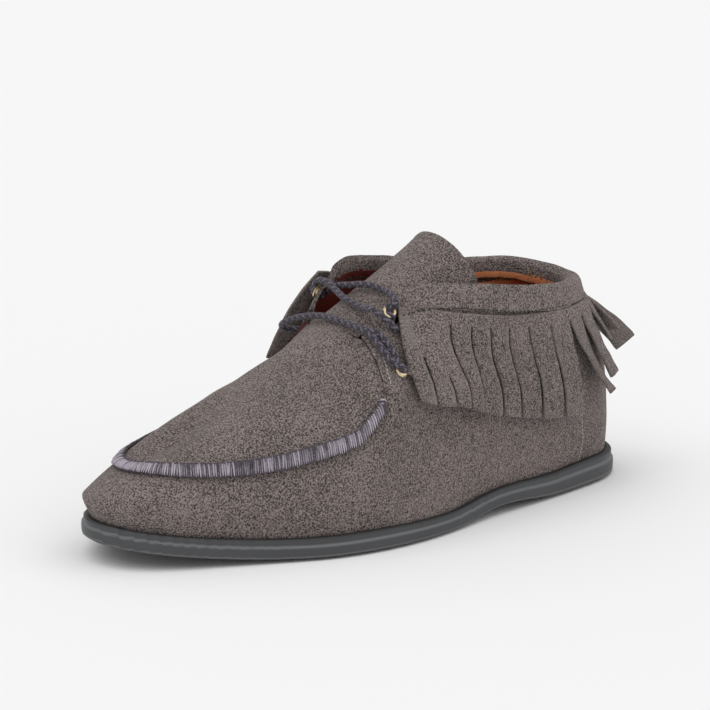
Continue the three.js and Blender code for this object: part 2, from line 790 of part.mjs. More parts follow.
// The raised seam round the apron, 0.3 mm off the wall
function seamSkin() {
  const skin = new Skin();
  const net = [];
  const from = facingIndex + 0.1;
  const to = rowCount - from;
  const steps = (toeIndex - facingIndex) * 4;
  for (let i = 0; i <= steps; i += 1) {
    const row = mix(from, to, i / steps);
    const rib = vampRib(row);
    const middle = rib(2);
    const reach = (sign) => {
      let stage = 2;
      while (rib(stage).distanceTo(middle) < seamWidth / 2) stage += 0.01 * sign;
      return stage;
    };
    const stages = [reach(-1), 2, reach(1)];
    net.push(stages.map((stage) => skin.add(rib(stage), seamLift + seamThickness, seamLift)));
  }
  for (let c = 0; c + 1 < net.length; c += 1) {
    for (let k = 0; k < 2; k += 1) {
      skin.cell(net[c + 1][k], net[c][k], net[c][k + 1], net[c + 1][k + 1]);
    }
  }
  return skin;
}

// Eyelets: a ring with a short barrel in a hole of the facing
const eyeletPlaces = table(['name', 'signed', 'stage'], [
  ['eyelet_outer_lower', 8.43, 2.72],
  ['eyelet_outer_upper', 8.33, 3.82],
  ['eyelet_inner_lower', -8.35, 2.9],
  ['eyelet_inner_upper', -8.33, 3.82],
]);
const eyeletHole = eyeletBore + eyeletSleeve;
const eyeletSides = 10;
const pinLength = 12;
function eyeletGeometry() {
  const bore = eyeletBore / 2;
  const barrel = eyeletHole / 2 - gap;
  const outer = eyeletOuter / 2;
  const profile = [
    [bore, -eyeletDepth], [barrel, -eyeletDepth], [barrel, gap], [outer, gap],
    [outer - eyeletBevel, gap + eyeletRing], [bore, gap + eyeletRing], [bore, -eyeletDepth],
  ];
  const shape = new THREE.LatheGeometry(profile.map(([r, z]) => new THREE.Vector2(r, z)), eyeletSides);
  shape.rotateX(Math.PI / 2);
  return shape;
}
function eyeletMatrix(row) {
  const { point, out } = quarterFrame(row.signed, row.stage);
  const turn = new THREE.Quaternion().setFromUnitVectors(up, out);
  const seat = point.clone().addScaledVector(out, facingOverlap + eyeletSeat);
  return new THREE.Matrix4().compose(seat, turn, new THREE.Vector3(1, 1, 1));
}

// Closed meshes as solids for joining and cutting
function toSolid(geometry) {
  const bare = geometry.clone();
  bare.deleteAttribute('normal');
  bare.deleteAttribute('uv');
  const merged = mergeVertices(bare, 1e-4);
  return new wasm.Manifold(new wasm.Mesh({
    numProp: 3,
    vertProperties: new Float32Array(merged.attributes.position.array),
    triVerts: new Uint32Array(merged.index.array),
  }));
}
function fromSolid(body) {
  const mesh = body.getMesh();
  const geometry = new THREE.BufferGeometry();
  geometry.setAttribute('position', new THREE.BufferAttribute(mesh.vertProperties, 3));
  geometry.setIndex(new THREE.BufferAttribute(mesh.triVerts, 1));
  return geometry;
}

function upperGeometry() {
  let body = toSolid(upper.geometry());
  eyeletPlaces.forEach((row) => {
    const pin = new THREE.CylinderGeometry(eyeletHole / 2, eyeletHole / 2, pinLength, eyeletSides);
    pin.rotateX(Math.PI / 2);
    pin.applyMatrix4(eyeletMatrix(row));
    body = body.subtract(toSolid(pin));
  });
  return fromSolid(body);
}

// The laces, as runs of points x, f, z along their middles. The lower lace is the bar between
// the lower eyelets with the strand beside it, the upper lace is two strands that cross.
// Their ends stop clear of the eyelets.
const lowerLace = [
  [
    [-34.6, 105.0, 71.0], [-34.4, 109.4, 72.2], [-30.6, 111.8, 75.0], [-22, 111.6, 78.6],
    [-15, 111.4, 80.6], [-9, 110.4, 81.9], [-2.6, 109.6, 82.6], [4.1, 109.1, 82.6],
    [10.4, 108.5, 82.2], [16, 108.2, 81.8], [22.4, 107.4, 80.9], [25.6, 106.4, 79.2],
    [29.5, 105.4, 75.9], [32.2, 104.4, 73.2], [34.5, 103.2, 70.6],
  ],
  [[24.6, 104.8, 81.8], [27.5, 103.6, 79.3], [30.9, 102.3, 75.7], [33.3, 101.6, 73.0], [34.9, 101.8, 70.8]],
];
const upperLace = [
  [
    [-26.2, 98.2, 92.9], [-22.0, 98.4, 93.9], [-16, 98.6, 92.2], [-10, 99.6, 90.6], [-4, 100.8, 89.4],
    [0.6, 101.4, 88.8], [6.6, 101.3, 87.9], [12.2, 101.6, 87.7], [17.2, 102.7, 88.5],
    [22.0, 102.9, 88.2], [26.0, 100.9, 85.9], [28.0, 99.5, 83.5],
  ],
  [
    [-15.6, 97.6, 90.6], [-12, 96.2, 91.6], [-8, 95.2, 92.6], [-4.2, 94.0, 93.4], [0.3, 92.9, 94.0],
    [4.6, 91.6, 94.0], [10.7, 90.8, 93.3], [15.0, 91.8, 93.3], [18.8, 92.7, 92.9], [22.2, 93.7, 91.8],
  ],
];
const laceSides = 8;
const laceStepsPerPoint = 1.4;
function laceGeometry(runs) {
  const section = new THREE.Shape();
  for (let i = 0; i < laceSides; i += 1) {
    const turn = (2 * Math.PI * i) / laceSides;
    const corner = [laceDiameter / 2 * Math.cos(turn), laceDiameter / 2 * Math.sin(turn)];
    if (i === 0) section.moveTo(...corner);
    else section.lineTo(...corner);
  }
  section.closePath();
  const bodies = runs.map((run) => toSolid(new THREE.ExtrudeGeometry(section, {
    steps: Math.round(run.length * laceStepsPerPoint),
    bevelEnabled: false,
    extrudePath: openOf(run.map((point) => at(...point))),
  })));
  return fromSolid(bodies[0].add(bodies[1]));
}

const group = new THREE.Group();
function add(name, geometry, colour, roughness, metalness = 0) {
  const flat = geometry.index ? geometry.toNonIndexed() : geometry;
  flat.computeVertexNormals();
  const material = new THREE.MeshStandardMaterial({ color: colour, roughness, metalness });
  const mesh = new THREE.Mesh(flat, material);
  mesh.name = name;
  group.add(mesh);
  return mesh;
}

const suede = 0x6f6762;
add('outsole', soleGeometry(), 0x3c4042, 0.55);
add('insole', insoleGeometry(), 0x9a4a2c, 0.8);
add('upper', upperGeometry(), suede, 0.95);
add('tongue', tongueSkin().geometry(), suede, 0.95);
add('collar_band', bandGeometry(), suede, 0.95);
add('fringe', fringeSkin().geometry(), suede, 0.95);
add('apron_seam', seamSkin().geometry(), 0x82767f, 0.6);
add('lace_lower', laceGeometry(lowerLace), 0x504b57, 0.8);
add('lace_upper', laceGeometry(upperLace), 0x504b57, 0.8);
eyeletPlaces.forEach((row) => {
  const mesh = add(row.name, eyeletGeometry(), 0xc9b98f, 0.35, 0.9);
  mesh.applyMatrix4(eyeletMatrix(row));
});

export default group;
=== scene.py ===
# %% [markdown]
# A soft ankle boot of grey suede
#
# The solids of this boot come from a CAD model. Here each one gets the skin, the stitches and the finish
# that the real boot has. Lengths are in metres. The toe points to -Y, the outer side of the foot is +X, and
# the floor is at Z = 0. The CAD model is loaded first and stays as it is: where a piece needs a softer
# form, a copy of its mesh is shaped and takes its place.

# %% Load the frame
import math
import random

import bmesh
import bpy
import numpy as np
from mathutils import Matrix, Vector, noise
from mathutils.bvhtree import BVHTree


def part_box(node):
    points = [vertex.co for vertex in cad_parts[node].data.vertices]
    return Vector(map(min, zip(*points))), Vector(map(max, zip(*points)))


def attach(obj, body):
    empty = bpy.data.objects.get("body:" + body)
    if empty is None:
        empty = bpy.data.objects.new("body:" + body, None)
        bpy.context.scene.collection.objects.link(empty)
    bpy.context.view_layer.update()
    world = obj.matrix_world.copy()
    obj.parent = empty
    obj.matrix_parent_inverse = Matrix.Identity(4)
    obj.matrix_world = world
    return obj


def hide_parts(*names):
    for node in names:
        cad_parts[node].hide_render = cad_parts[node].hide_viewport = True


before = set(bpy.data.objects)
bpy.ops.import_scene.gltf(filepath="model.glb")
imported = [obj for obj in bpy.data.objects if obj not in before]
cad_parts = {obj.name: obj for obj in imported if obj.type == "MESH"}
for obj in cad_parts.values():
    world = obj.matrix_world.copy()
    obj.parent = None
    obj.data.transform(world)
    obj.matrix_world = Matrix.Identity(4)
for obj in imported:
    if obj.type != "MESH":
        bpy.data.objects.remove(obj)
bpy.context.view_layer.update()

MM = 0.001

# %% [markdown]
# The camera stands in front of the outer side, a little above the shoe. Its angle was found from the
# outline of the sole, which is the one part of the picture whose true shape is well known. A long lens
# from 0.9 m away keeps the far side nearly as large as the near one. A small shift puts the shoe where the
# picture has it, so that the camera doesn't have to turn.

# %% Camera
PICTURE = 710
FOCAL_PIXELS = 2240
CENTRE_U, CENTRE_V = 360, 416.8
turn, rise = math.radians(55.7), math.radians(15)
aim = Vector((0, -95, 40)) * MM
back = Vector((math.sin(turn) * math.cos(rise), -math.cos(turn) * math.cos(rise), math.sin(rise)))
right = Vector((math.cos(turn), math.sin(turn), 0))
up = back.cross(right)
DISTANCE = 0.9
eye = aim + back * DISTANCE

lens = bpy.data.cameras.new("camera")
lens.sensor_width = 36
lens.lens = FOCAL_PIXELS * lens.sensor_width / PICTURE
lens.shift_x = (PICTURE / 2 - CENTRE_U) / PICTURE
lens.shift_y = (CENTRE_V - PICTURE / 2) / PICTURE
camera = bpy.data.objects.new("camera", lens)
camera.matrix_world = Matrix((right, up, back)).transposed().to_4x4()
camera.location = eye
bpy.context.scene.collection.objects.link(camera)
bpy.context.scene.camera = camera
print("camera at", [round(v, 3) for v in eye], "lens", round(lens.lens, 1), "mm")


def sight(u, v):
    """The direction from the camera through a point of the picture."""
    return (right * (u - CENTRE_U) - up * (v - CENTRE_V) - back * FOCAL_PIXELS).normalized()


# %% [markdown]
# A product picture of this kind is taken on white, in light so soft that only a faint shadow lies round the
# sole. A bright world does most of it. Lamps near by would leave a pool of light on the floor, and the
# ground of the picture has none, so two wide suns stand in for them: one over the toe, for the top light,
# and a weaker one from the heel. The floor is a wide disc, so that no horizon shows.

# %% Light and floor
bpy.context.scene.view_settings.view_transform = "Standard"
WORLD_LIGHT = 0.60
world = bpy.data.worlds.new("studio")
world.use_nodes = True
world.node_tree.nodes["Background"].inputs["Color"].default_value = (1, 1, 1, 1)
world.node_tree.nodes["Background"].inputs["Strength"].default_value = WORLD_LIGHT
bpy.context.scene.world = world


def sun(name, towards, breadth, strength):
    """A wide soft sun that stands in a direction."""
    light = bpy.data.lights.new(name, "SUN")
    light.angle = math.radians(breadth)
    light.energy = strength
    holder = bpy.data.objects.new(name, light)
    holder.rotation_euler = Vector(towards).to_track_quat("Z", "Y").to_euler()
    bpy.context.scene.collection.objects.link(holder)


sun("sun_toe", (0.1, -0.75, 1.4), 55, 0.98)
sun("sun_heel", (0.9, 0.7, 1.3), 60, 0.52)

FLOOR_RADIUS = 9
disc = bmesh.new()
bmesh.ops.create_circle(disc, cap_ends=True, segments=96, radius=FLOOR_RADIUS)
floor_mesh = bpy.data.meshes.new("floor")
disc.to_mesh(floor_mesh)
disc.free()
floor = bpy.data.objects.new("floor", floor_mesh)
bpy.context.scene.collection.objects.link(floor)
print("floor", FLOOR_RADIUS, "m in radius, world", WORLD_LIGHT)

# %% [markdown]
# Every finish below is a handful of noises that are added and multiplied. Written as node links that would
# be pages, so two small tools come first. A Wire wraps the output of a node, and sums on it add Math nodes.
# A Finish is a material whose other nodes come from one call each.

# %% Tools for materials
class Wire:
    """The output of a node, on which sums can be written."""

    def __init__(self, finish, socket):
        self.finish = finish
        self.socket = socket

    def sum(self, operation, first, second):
        return self.finish.node("ShaderNodeMath", {"operation": operation}, {0: first, 1: second})

    def __add__(self, other):
        return self.sum("ADD", self, other)

    def __sub__(self, other):
        return self.sum("SUBTRACT", self, other)

    def __rsub__(self, other):
        return self.sum("SUBTRACT", other, self)

    def __mul__(self, other):
        return self.sum("MULTIPLY", self, other)

    __radd__ = __add__
    __rmul__ = __mul__

    def between(self, low, high):
        """0 at low, 1 at high, and straight in between."""
        limits = {"Value": self, "From Min": low, "From Max": high}
        return self.finish.node("ShaderNodeMapRange", {"clamp": True}, limits)


class Finish:
    """A material with one Principled shader, whose fixed values are set on its own sockets."""

    def __init__(self, name, **fixed):
        self.material = bpy.data.materials.new(name)
        self.material.use_nodes = True
        self.tree = self.material.node_tree
        self.shader = self.tree.nodes["Principled BSDF"]
        for socket, value in fixed.items():
            self.shader.inputs[socket.replace("_", " ")].default_value = value
        self.place = self.node("ShaderNodeTexCoord", {}, {}, "Object")

    def node(self, kind, settings, inputs, output=0):
        """A node with its settings, then the values or links of its sockets."""
        made = self.tree.nodes.new(kind)
        for name, value in settings.items():
            setattr(made, name, value)
        for socket, value in inputs.items():
            if isinstance(value, Wire):
                self.tree.links.new(value.socket, made.inputs[socket])
            else:
                made.inputs[socket].default_value = value
        return Wire(self, made.outputs[output])

    def noise(self, size, detail=2.0, rough=0.5):
        """Noise whose blots are about as large as size."""
        inputs = {"Vector": self.place, "Scale": 1 / size, "Detail": detail, "Roughness": rough}
        return self.node("ShaderNodeTexNoise", {}, inputs, "Fac")

    def mixed(self, share, first, second):
        """One colour over another."""
        return self.node("ShaderNodeMix", {"data_type": "RGBA"}, {0: share, 6: first, 7: second}, 2)

    def stored(self, name):
        """A number that the mesh carries at each of its points."""
        return self.node("ShaderNodeAttribute", {"attribute_name": name}, {}, "Fac")

    def wear(self, colour, roughness, height, depth):
        """Sets what varies over the surface: its colour, its gloss and its relief, depth high."""
        relief = {"Height": height, "Distance": depth, "Strength": 1.0}
        bump = self.node("ShaderNodeBump", {}, relief, "Normal")
        for socket, value in (("Base Color", colour), ("Roughness", roughness), ("Normal", bump)):
            self.tree.links.new(value.socket, self.shader.inputs[socket])
        return self


# %% [markdown]
# Suede is leather with its fibres raised. It has no gloss. Its colour changes from millimetre to
# millimetre, because each tuft lies its own way, and from finger's width to finger's width, because hands
# have stroked it. So three noises add up to one tone: the nap, small blots and wide clouds. A little sheen
# stands for the fibre tips that catch light at the rim. Cut edges show paler raw leather, where the mesh
# carries a number for them.

# %% Suede
NAP_SIZE, BLOT_SIZE, CLOUD_SIZE = 0.62 * MM, 3.5 * MM, 34 * MM
NAP_GAIN, BLOT_GAIN, CLOUD_GAIN = 5.0, 0.6, 0.7
PILE_DEPTH = 0.7 * MM
RAW_LEATHER = (0.24, 0.21, 0.19, 1)


def suede(name, dark, light):
    sheen = {"Sheen_Weight": 0.18, "Sheen_Roughness": 0.45, "Sheen_Tint": (0.75, 0.68, 0.64, 1)}
    finish = Finish(name, Specular_IOR_Level=0.15, **sheen)
    nap = finish.noise(NAP_SIZE, 2.0, 0.6)
    blots = finish.noise(BLOT_SIZE, 3.0, 0.6)
    clouds = finish.noise(CLOUD_SIZE, 2.0)
    tone = (nap - 0.5) * NAP_GAIN + (blots - 0.5) * BLOT_GAIN + (clouds - 0.5) * CLOUD_GAIN + 0.5
    body = finish.mixed(tone.between(0, 1), dark, light)
    raw = finish.stored("raw_edge")
    colour = finish.mixed(raw * 0.55, body, RAW_LEATHER)
    return finish.wear(colour, nap * 0.1 + 0.88, nap * 1.0 + blots * 0.4, PILE_DEPTH).material


suede_grey = suede("suede_grey", (0.052, 0.043, 0.040, 1), (0.300, 0.249, 0.234, 1))
print("suede with a nap of", round(NAP_SIZE / MM, 2), "mm")

# %% [markdown]
# Inside, the boot is lined with smooth thin rust-coloured leather. Forward of the heel, deep in the boot,
# the same lining gets a dark red, which is painted shade. It could be a skin of its own, but nobody sees
# how thick it is, so it is only a finish on the inner faces of the upper. At the throat, the same finish in
# near black is painted shadow on the edges and on the faces that turn into the boot.

# %% Lining
def lining(name, dark, light):
    finish = Finish(name, Specular_IOR_Level=0.3)
    grain = finish.noise(0.9 * MM, 3.0, 0.6)
    clouds = finish.noise(14 * MM, 2.0)
    tone = (grain - 0.5) * 0.8 + clouds
    colour = finish.mixed(tone.between(0.15, 0.85), dark, light)
    return finish.wear(colour, grain * 0.2 + 0.5, grain, 0.12 * MM).material


rust = lining("lining_rust", (0.60, 0.19, 0.08, 1), (0.88, 0.38, 0.18, 1))
# the lining darkened with painted shade, for deep inside the boot
lining_painted_shade = lining("lining_deep_painted_shade", (0.10, 0.014, 0.012, 1), (0.19, 0.034, 0.024, 1))
# near black painted shadow for the edges of the throat
throat_shadow_paint = lining("throat_shadow_paint", (0.012, 0.010, 0.010, 1), (0.03, 0.025, 0.024, 1))
# prints the rust lining, the lining with painted shade, and the throat's painted shadow
print("lining in rust and wine, and throat shadow paint")

# %% [markdown]
# A node of the CAD model is a bag of loose triangles. To be shaped, a copy of it has its corners merged and
# its triangles paired to four-sided faces, because a subdivision surface runs smoothly over quads and
# lumpily over triangles. Its sharp edges get a crease, so that a cut edge keeps its bite while the skin
# goes soft.

# %% Copies of the CAD solids
def merged(*nodes):
    """The skins of some CAD nodes as quads."""
    bm = bmesh.new()
    for name in nodes:
        bm.from_mesh(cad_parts[name].data)
    bmesh.ops.remove_doubles(bm, verts=bm.verts, dist=0.01 * MM)
    join = {"angle_face_threshold": math.radians(40), "angle_shape_threshold": math.radians(60)}
    bmesh.ops.join_triangles(bm, faces=bm.faces, **join)
    return bm


def creased(bm, angle, sharpness):
    """Creases the edges that turn by more than an angle in degrees."""
    layer = bm.edges.layers.float.get("crease_edge") or bm.edges.layers.float.new("crease_edge")
    for edge in bm.edges:
        if len(edge.link_faces) == 2 and edge.calc_face_angle() > math.radians(angle):
            edge[layer] = sharpness
    return bm


def piece(name, bm, *materials, levels=0):
    """A finished object from a bmesh, with its modifiers applied."""
    mesh = bpy.data.meshes.new(name)
    bm.to_mesh(mesh)
    bm.free()
    made = bpy.data.objects.new(name, mesh)
    bpy.context.scene.collection.objects.link(made)
    if levels:
        rounded = made.modifiers.new("rounded", "SUBSURF")
        rounded.levels = rounded.render_levels = levels
        bpy.context.view_layer.update()
        graph = bpy.context.evaluated_depsgraph_get()
        mesh = bpy.data.meshes.new_from_object(made.evaluated_get(graph))
        made.modifiers.clear()
        made.data = mesh
    mesh.materials.clear()
    for material in materials:
        mesh.materials.append(material)
    mesh.shade_smooth()
    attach(made, "root")
    print(name, len(mesh.polygons), "faces")
    return made


# the middle of the room for the foot is a line from CORE_TOE to CORE_HEEL, no higher than CORE_TOP
CORE_X, CORE_TOE, CORE_HEEL, CORE_TOP = 0.003, -0.19, -0.012, 0.028


def facing(place, normal):
    """How far a skin looks out of the boot: 1 straight out, 0 along the wall, -1 into the boot."""
    core = Vector((CORE_X, min(max(place.y, CORE_TOE), CORE_HEEL), min(place.z, CORE_TOP)))
    return normal.dot((place - core).normalized())


def turned_out(place, normal):
    """The normal of a skin, turned round where it looks into the boot."""
    return normal if facing(place, normal) > 0 else -normal


# %% [markdown]
# The upper is cut from two hides of suede: the side wall, and the apron that runs over the forefoot and on
# into the tongue. In the CAD model tongue and apron are two solids, a hair apart. Here they are welded to
# one skin before it is subdivided, so that no joint shows under the lace. Then the skin is bent along listed
# folds. A cloth simulation would put folds anywhere, and those of a new boot are few and known: soft ones
# that run down and forward from the ankle, and a shallow one where the toes bend.

# %% Upper
def welded(bm, reach):
    """Closes the hair between tongue and apron."""
    tongue_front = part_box("tongue")[0].y
    near_joint = [v for v in bm.verts if -4 * MM < v.co.y - tongue_front < 8 * MM]
    found = bmesh.ops.find_doubles(bm, verts=near_joint, dist=reach)["targetmap"]
    ring = set(found) | set(found.values())
    for moved, kept in found.items():
        moved.co = kept.co
    both = [face for face in bm.faces if all(v in ring for v in face.verts)]
    bmesh.ops.delete(bm, geom=both, context="FACES_ONLY")
    bmesh.ops.weld_verts(bm, targetmap=found)
    print("welded", len(found), "points of the tongue to the apron")
    return bm


def bent(mesh, depth_at):
    """Moves both skins of a wall outwards by what depth_at says for its points."""
    places = np.array([vertex.co for vertex in mesh.vertices])
    normals = np.array([turned_out(vertex.co, vertex.normal) for vertex in mesh.vertices])
    mesh.vertices.foreach_set("co", (places + normals * depth_at(places)[:, None]).ravel())
    mesh.update()


def trough(places, start, end, width, depth):
    """A soft trough along a line, in millimetres. Where depth is below 0, it is a ridge."""
    a, b = np.array(start) * MM, np.array(end) * MM
    along = b - a
    share = np.clip((places - a) @ along / (along @ along), 0, 1)
    away = np.linalg.norm(places - a - share[:, None] * along, axis=1) / (width * MM)
    return -depth * MM * np.exp(-away * away) * np.sin(math.pi * (0.15 + 0.7 * share))


def lumps(places, size, height, seed):
    """Gentle unevenness, in lumps about as large as size."""
    offset = Vector((seed, 0, 0))
    return np.array([noise.noise(Vector(p) / size + offset) for p in places]) * height


# %% Folds
# start, end, width and depth, in millimetres
CREASES = [
    # the ankle's folds run down and forward from the collar, with ridges between them
    ((41, -78, 62), (44, -104, 38), 4.5, 1.3),
    ((40, -60, 55), (43, -92, 26), 5.0, 1.2),
    ((38, -30, 60), (42, -55, 28), 5.5, 0.8),
    ((30, 18, 60), (36, 2, 30), 5.0, 0.7),
    ((42, -88, 58), (45, -112, 36), 4.0, -0.9),
    ((41, -50, 58), (43, -76, 28), 5.0, -0.7),
    # the same on the inner side
    ((-33, -78, 62), (-35, -104, 38), 4.5, 1.2),
    ((-33, -58, 55), (-35, -88, 26), 5.0, 1.0),
    ((-33, -28, 60), (-34, -50, 30), 5.5, 0.7),
    # across the apron, where the toes bend
    ((26, -136, 58), (-22, -140, 58), 5.0, 0.6),
    ((24, -150, 52), (-22, -152, 52), 6.0, -0.4),
]


def upper_relief(places):
    depth = sum(trough(places, *line) for line in CREASES)
    return depth + lumps(places, 26 * MM, 0.5 * MM, 1) + lumps(places, 9 * MM, 0.2 * MM, 7)


HAIR = 0.6 * MM
skin = creased(welded(merged("upper", "tongue"), HAIR), 50, 0.72)
suede_upper = piece("suede_upper", skin, suede_grey, rust, lining_painted_shade, throat_shadow_paint, levels=2)
bent(suede_upper.data, upper_relief)

# %% Colours of the upper
# the lining's slots: rust, the same lining with painted shade deep in the boot, painted shadow at the throat
IN_RUST, IN_SHADED_LINING, IN_THROAT_SHADOW = 1, 2, 3
# forward of this y the lining gets painted shade
PAINTED_SHADE_FROM_Y = -0.062
THROAT_FRONT, THROAT_BACK, THROAT_LOW = -0.117, -0.085, 0.055
LINED_BELOW = -0.35


def lining_or_shade_at(y):
    """Rust lining round the heel, and further forward the same lining darkened with painted shade."""
    return IN_RUST if y > PAINTED_SHADE_FROM_Y else IN_SHADED_LINING


for face in suede_upper.data.polygons:
    look = facing(face.center, face.normal)
    at_throat = THROAT_FRONT < face.center.y < THROAT_BACK and face.center.z > THROAT_LOW
    # at the throat, the edges and the faces turned into the boot get painted shadow
    if at_throat and (look < 0.25 and face.center.x > 0.008 or LINED_BELOW < look < 0.1):
        face.material_index = IN_THROAT_SHADOW
    elif look < LINED_BELOW:
        face.material_index = lining_or_shade_at(face.center.y)
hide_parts("upper", "tongue")


def skin_tree(*objects):
    """Something to drop plumb lines on, from the meshes of some objects."""
    bm = bmesh.new()
    for made in objects:
        bm.from_mesh(made.data)
    tree = BVHTree.FromBMesh(bm)
    bm.free()
    return tree


wall_tree = skin_tree(suede_upper)

# %% [markdown]
# The collar is a strip of suede folded round a foam cord. It takes the place of the plain solid: the same
# roll, subdivided, with small gathers where the cover has been pulled round the bend. Inflating it with a
# cloth simulation would round it off evenly, and the real one isn't even: its front end dips on the outer
# side, and its lower edge is drawn down over the fringe. So its points are moved by rules. The rules ask
# how far below the collar's top a point lies, and the top rises and falls, so it is measured in narrow
# sectors first.

# %% Sectors round the collar
COLLAR_MIDDLE_Y = -0.045
SECTORS = 120


def turned_by(places):
    """The angle of places round the middle of the collar."""
    return np.arctan2(places[:, 1] - COLLAR_MIDDLE_Y, places[:, 0])


def sector(places):
    """Which of the sectors each place lies in."""
    return np.floor((turned_by(places) / (2 * math.pi) + 0.5) * SECTORS).astype(int) % SECTORS


def sector_tops(places):
    """The height of the highest point in each sector."""
    tops = np.full(SECTORS, -1.0)
    np.maximum.at(tops, sector(places), places[:, 2])
    return tops


def from_middle(place):
    """The level direction from the middle of the collar to a place."""
    return Vector((place.x, place.y - COLLAR_MIDDLE_Y, 0)).normalized()


def points_of(mesh):
    return np.array([vertex.co for vertex in mesh.vertices])


roll = piece("collar_roll", creased(merged("collar_band"), 60, 0.5), suede_grey, rust, lining_painted_shade, levels=2)
band_tops = sector_tops(points_of(roll.data))
print("the collar's top is at most", round(band_tops.max() / MM), "mm high")

# %% Gathers
BAND_TALL = 10 * MM
GATHERS = 46
GATHER_DEPTH = 0.25 * MM


def gathers(places):
    low = np.clip((band_tops[sector(places)] - places[:, 2]) / BAND_TALL - 0.3, 0, 1)
    return np.sin(turned_by(places) * GATHERS) * GATHER_DEPTH * low + lumps(places, 11 * MM, 0.45 * MM, 3)


bent(roll.data, gathers)

# %% Front end of the roll
OUTER_SIDE = 0.012
FRONT_REACH = 4.2 * MM
FRONT_DIP = 2.0 * MM


def rise_between(values, low, high):
    """0 at low, 1 at high, and a soft slope in between."""
    share = np.clip((values - low) / (high - low), 0, 1)
    return share * share * (3 - 2 * share)


def pixels_of(places):
    """Where places lie across the picture, and how many pixels a metre has there."""
    away = places - np.array(eye)
    scale = FOCAL_PIXELS / -(away @ np.array(back))
    return CENTRE_U + away @ np.array(right) * scale, scale


band_points = points_of(roll.data)
u = pixels_of(band_points)[0]
outer = band_points[:, 0] > OUTER_SIDE
band_front = band_points[outer & (u < 425)].mean(axis=0)
band_behind = band_points[outer & (u > 445) & (u < 465)].mean(axis=0)
forward = (band_front - band_behind) / np.linalg.norm(band_front - band_behind)
stretched = outer * (1 - rise_between(u, 412, 470))
band_points += stretched[:, None] * forward * FRONT_REACH
band_points[:, 2] -= outer * (1 - rise_between(u, 404, 440)) * FRONT_DIP
roll.data.vertices.foreach_set("co", band_points.ravel())
roll.data.update()
print("the roll's front end goes", round(FRONT_REACH / MM, 1), "mm forward")

# %% Lower edge and colours of the roll
RIM_DEPTH = 6.2 * MM
LAPPED = 1.5 * MM
DRAWN_DOWN = 1.3 * MM


def below_top(place):
    """How far a place lies below the top of the roll."""
    return band_tops[sector(np.array([place]))[0]] - place.z


for vertex in roll.data.vertices:
    outwards = from_middle(vertex.co)
    if vertex.normal.dot(outwards) > -0.2:
        pull = min(max((below_top(vertex.co) / BAND_TALL - 0.45) / 0.4, 0), 1)
        vertex.co += (outwards * LAPPED - Vector((0, 0, DRAWN_DOWN))) * pull
# inner faces low in the roll get the lining, with painted shade forward of the change
for face in roll.data.polygons:
    looks_in = face.normal.dot(from_middle(face.center)) < -0.3 and face.normal.z > -0.5
    if looks_in and below_top(face.center) > RIM_DEPTH:
        face.material_index = lining_or_shade_at(face.center.y)
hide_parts("collar_band")

# %% [markdown]
# The fringe is one tape of suede, sewn on under the roll and slit into strips from below. Soft strips never
# hang alike. On the outer side they sway forward near the top and fall back towards the heel, so that the
# slits look like a stretched S. Each strip could be a ribbon on a curve of its own, but ribbons run into
# each other. Here the sway is one smooth field for all strips, and neighbours move together. Only after it
# does each strip get a small lift and lean of its own.

# %% Sway
def slid(places, pixels, scale):
    """Slides places on the outer side along the wall, by pixels of the picture to the right."""
    moved = places.copy()
    amount = np.where(places[:, 0] < OUTER_SIDE, 0, pixels / scale)
    for k in np.flatnonzero(np.abs(amount) > 0.02 * MM):
        place = Vector(places[k])
        near, normal = wall_tree.find_nearest(place)[:2]
        stand = (place - near).dot(normal)
        run = Vector((0, 0, 1)).cross(normal).normalized()
        target = place + run * (amount[k] / run.dot(right))
        near, normal = wall_tree.find_nearest(target)[:2]
        moved[k] = near + normal * stand
    return moved


def swayed(places, depth):
    """The outer strips' sway, which depends on where they hang and how far down."""
    u, scale = pixels_of(places)
    high = -11 - 9 * rise_between(u, 440, 468)
    low = -3 - 6 * rise_between(u, 465, 495)
    fallen = rise_between(depth, 10 * MM, 34 * MM)
    return slid(places, (high + (low - high) * fallen) * (1 - rise_between(u, 520, 590)), scale)


# %% Which points belong to which strip
def islands(mesh, inside):
    """Numbers the connected groups of the points that are inside, from 1."""
    group = np.zeros(len(mesh.vertices), int)
    neighbours = [[] for _ in mesh.vertices]
    for edge in mesh.edges:
        a, b = edge.vertices
        if inside[a] and inside[b]:
            neighbours[a].append(b)
            neighbours[b].append(a)
    found = 0
    for start in np.flatnonzero(inside):
        if group[start]:
            continue
        found += 1
        group[start] = found
        waiting = [start]
        while waiting:
            for other in neighbours[waiting.pop()]:
                if not group[other]:
                    group[other] = found
                    waiting.append(other)
    return group, found


TAPE_DEPTH = 8 * MM
strips = piece("cut_fringe", creased(merged("fringe"), 50, 0.9), suede_grey, levels=2)
hanging = points_of(strips.data)
depth = sector_tops(hanging)[sector(hanging)] - hanging[:, 2]
group, strip_count = islands(strips.data, depth > TAPE_DEPTH)
print("the fringe has", strip_count, "strips")

# %% Lift and lean of the strips
hanging = swayed(hanging, depth)
random.seed(11)
outwards = np.stack([hanging[:, 0], hanging[:, 1] - COLLAR_MIDDLE_Y, np.zeros(len(hanging))], axis=1)
outwards /= np.linalg.norm(outwards, axis=1)[:, None]
sideways = np.stack([-outwards[:, 1], outwards[:, 0], outwards[:, 2]], axis=1)
for number in range(1, strip_count + 1):
    own = group == number
    lift, lean, lag = random.uniform(-0.7, 1.6), random.uniform(-0.7, 0.7), random.uniform(8, 18)
    share = rise_between(depth[own], lag * MM, 42 * MM)[:, None]
    hanging[own] += (outwards[own] * lift + sideways[own] * lean) * share * MM
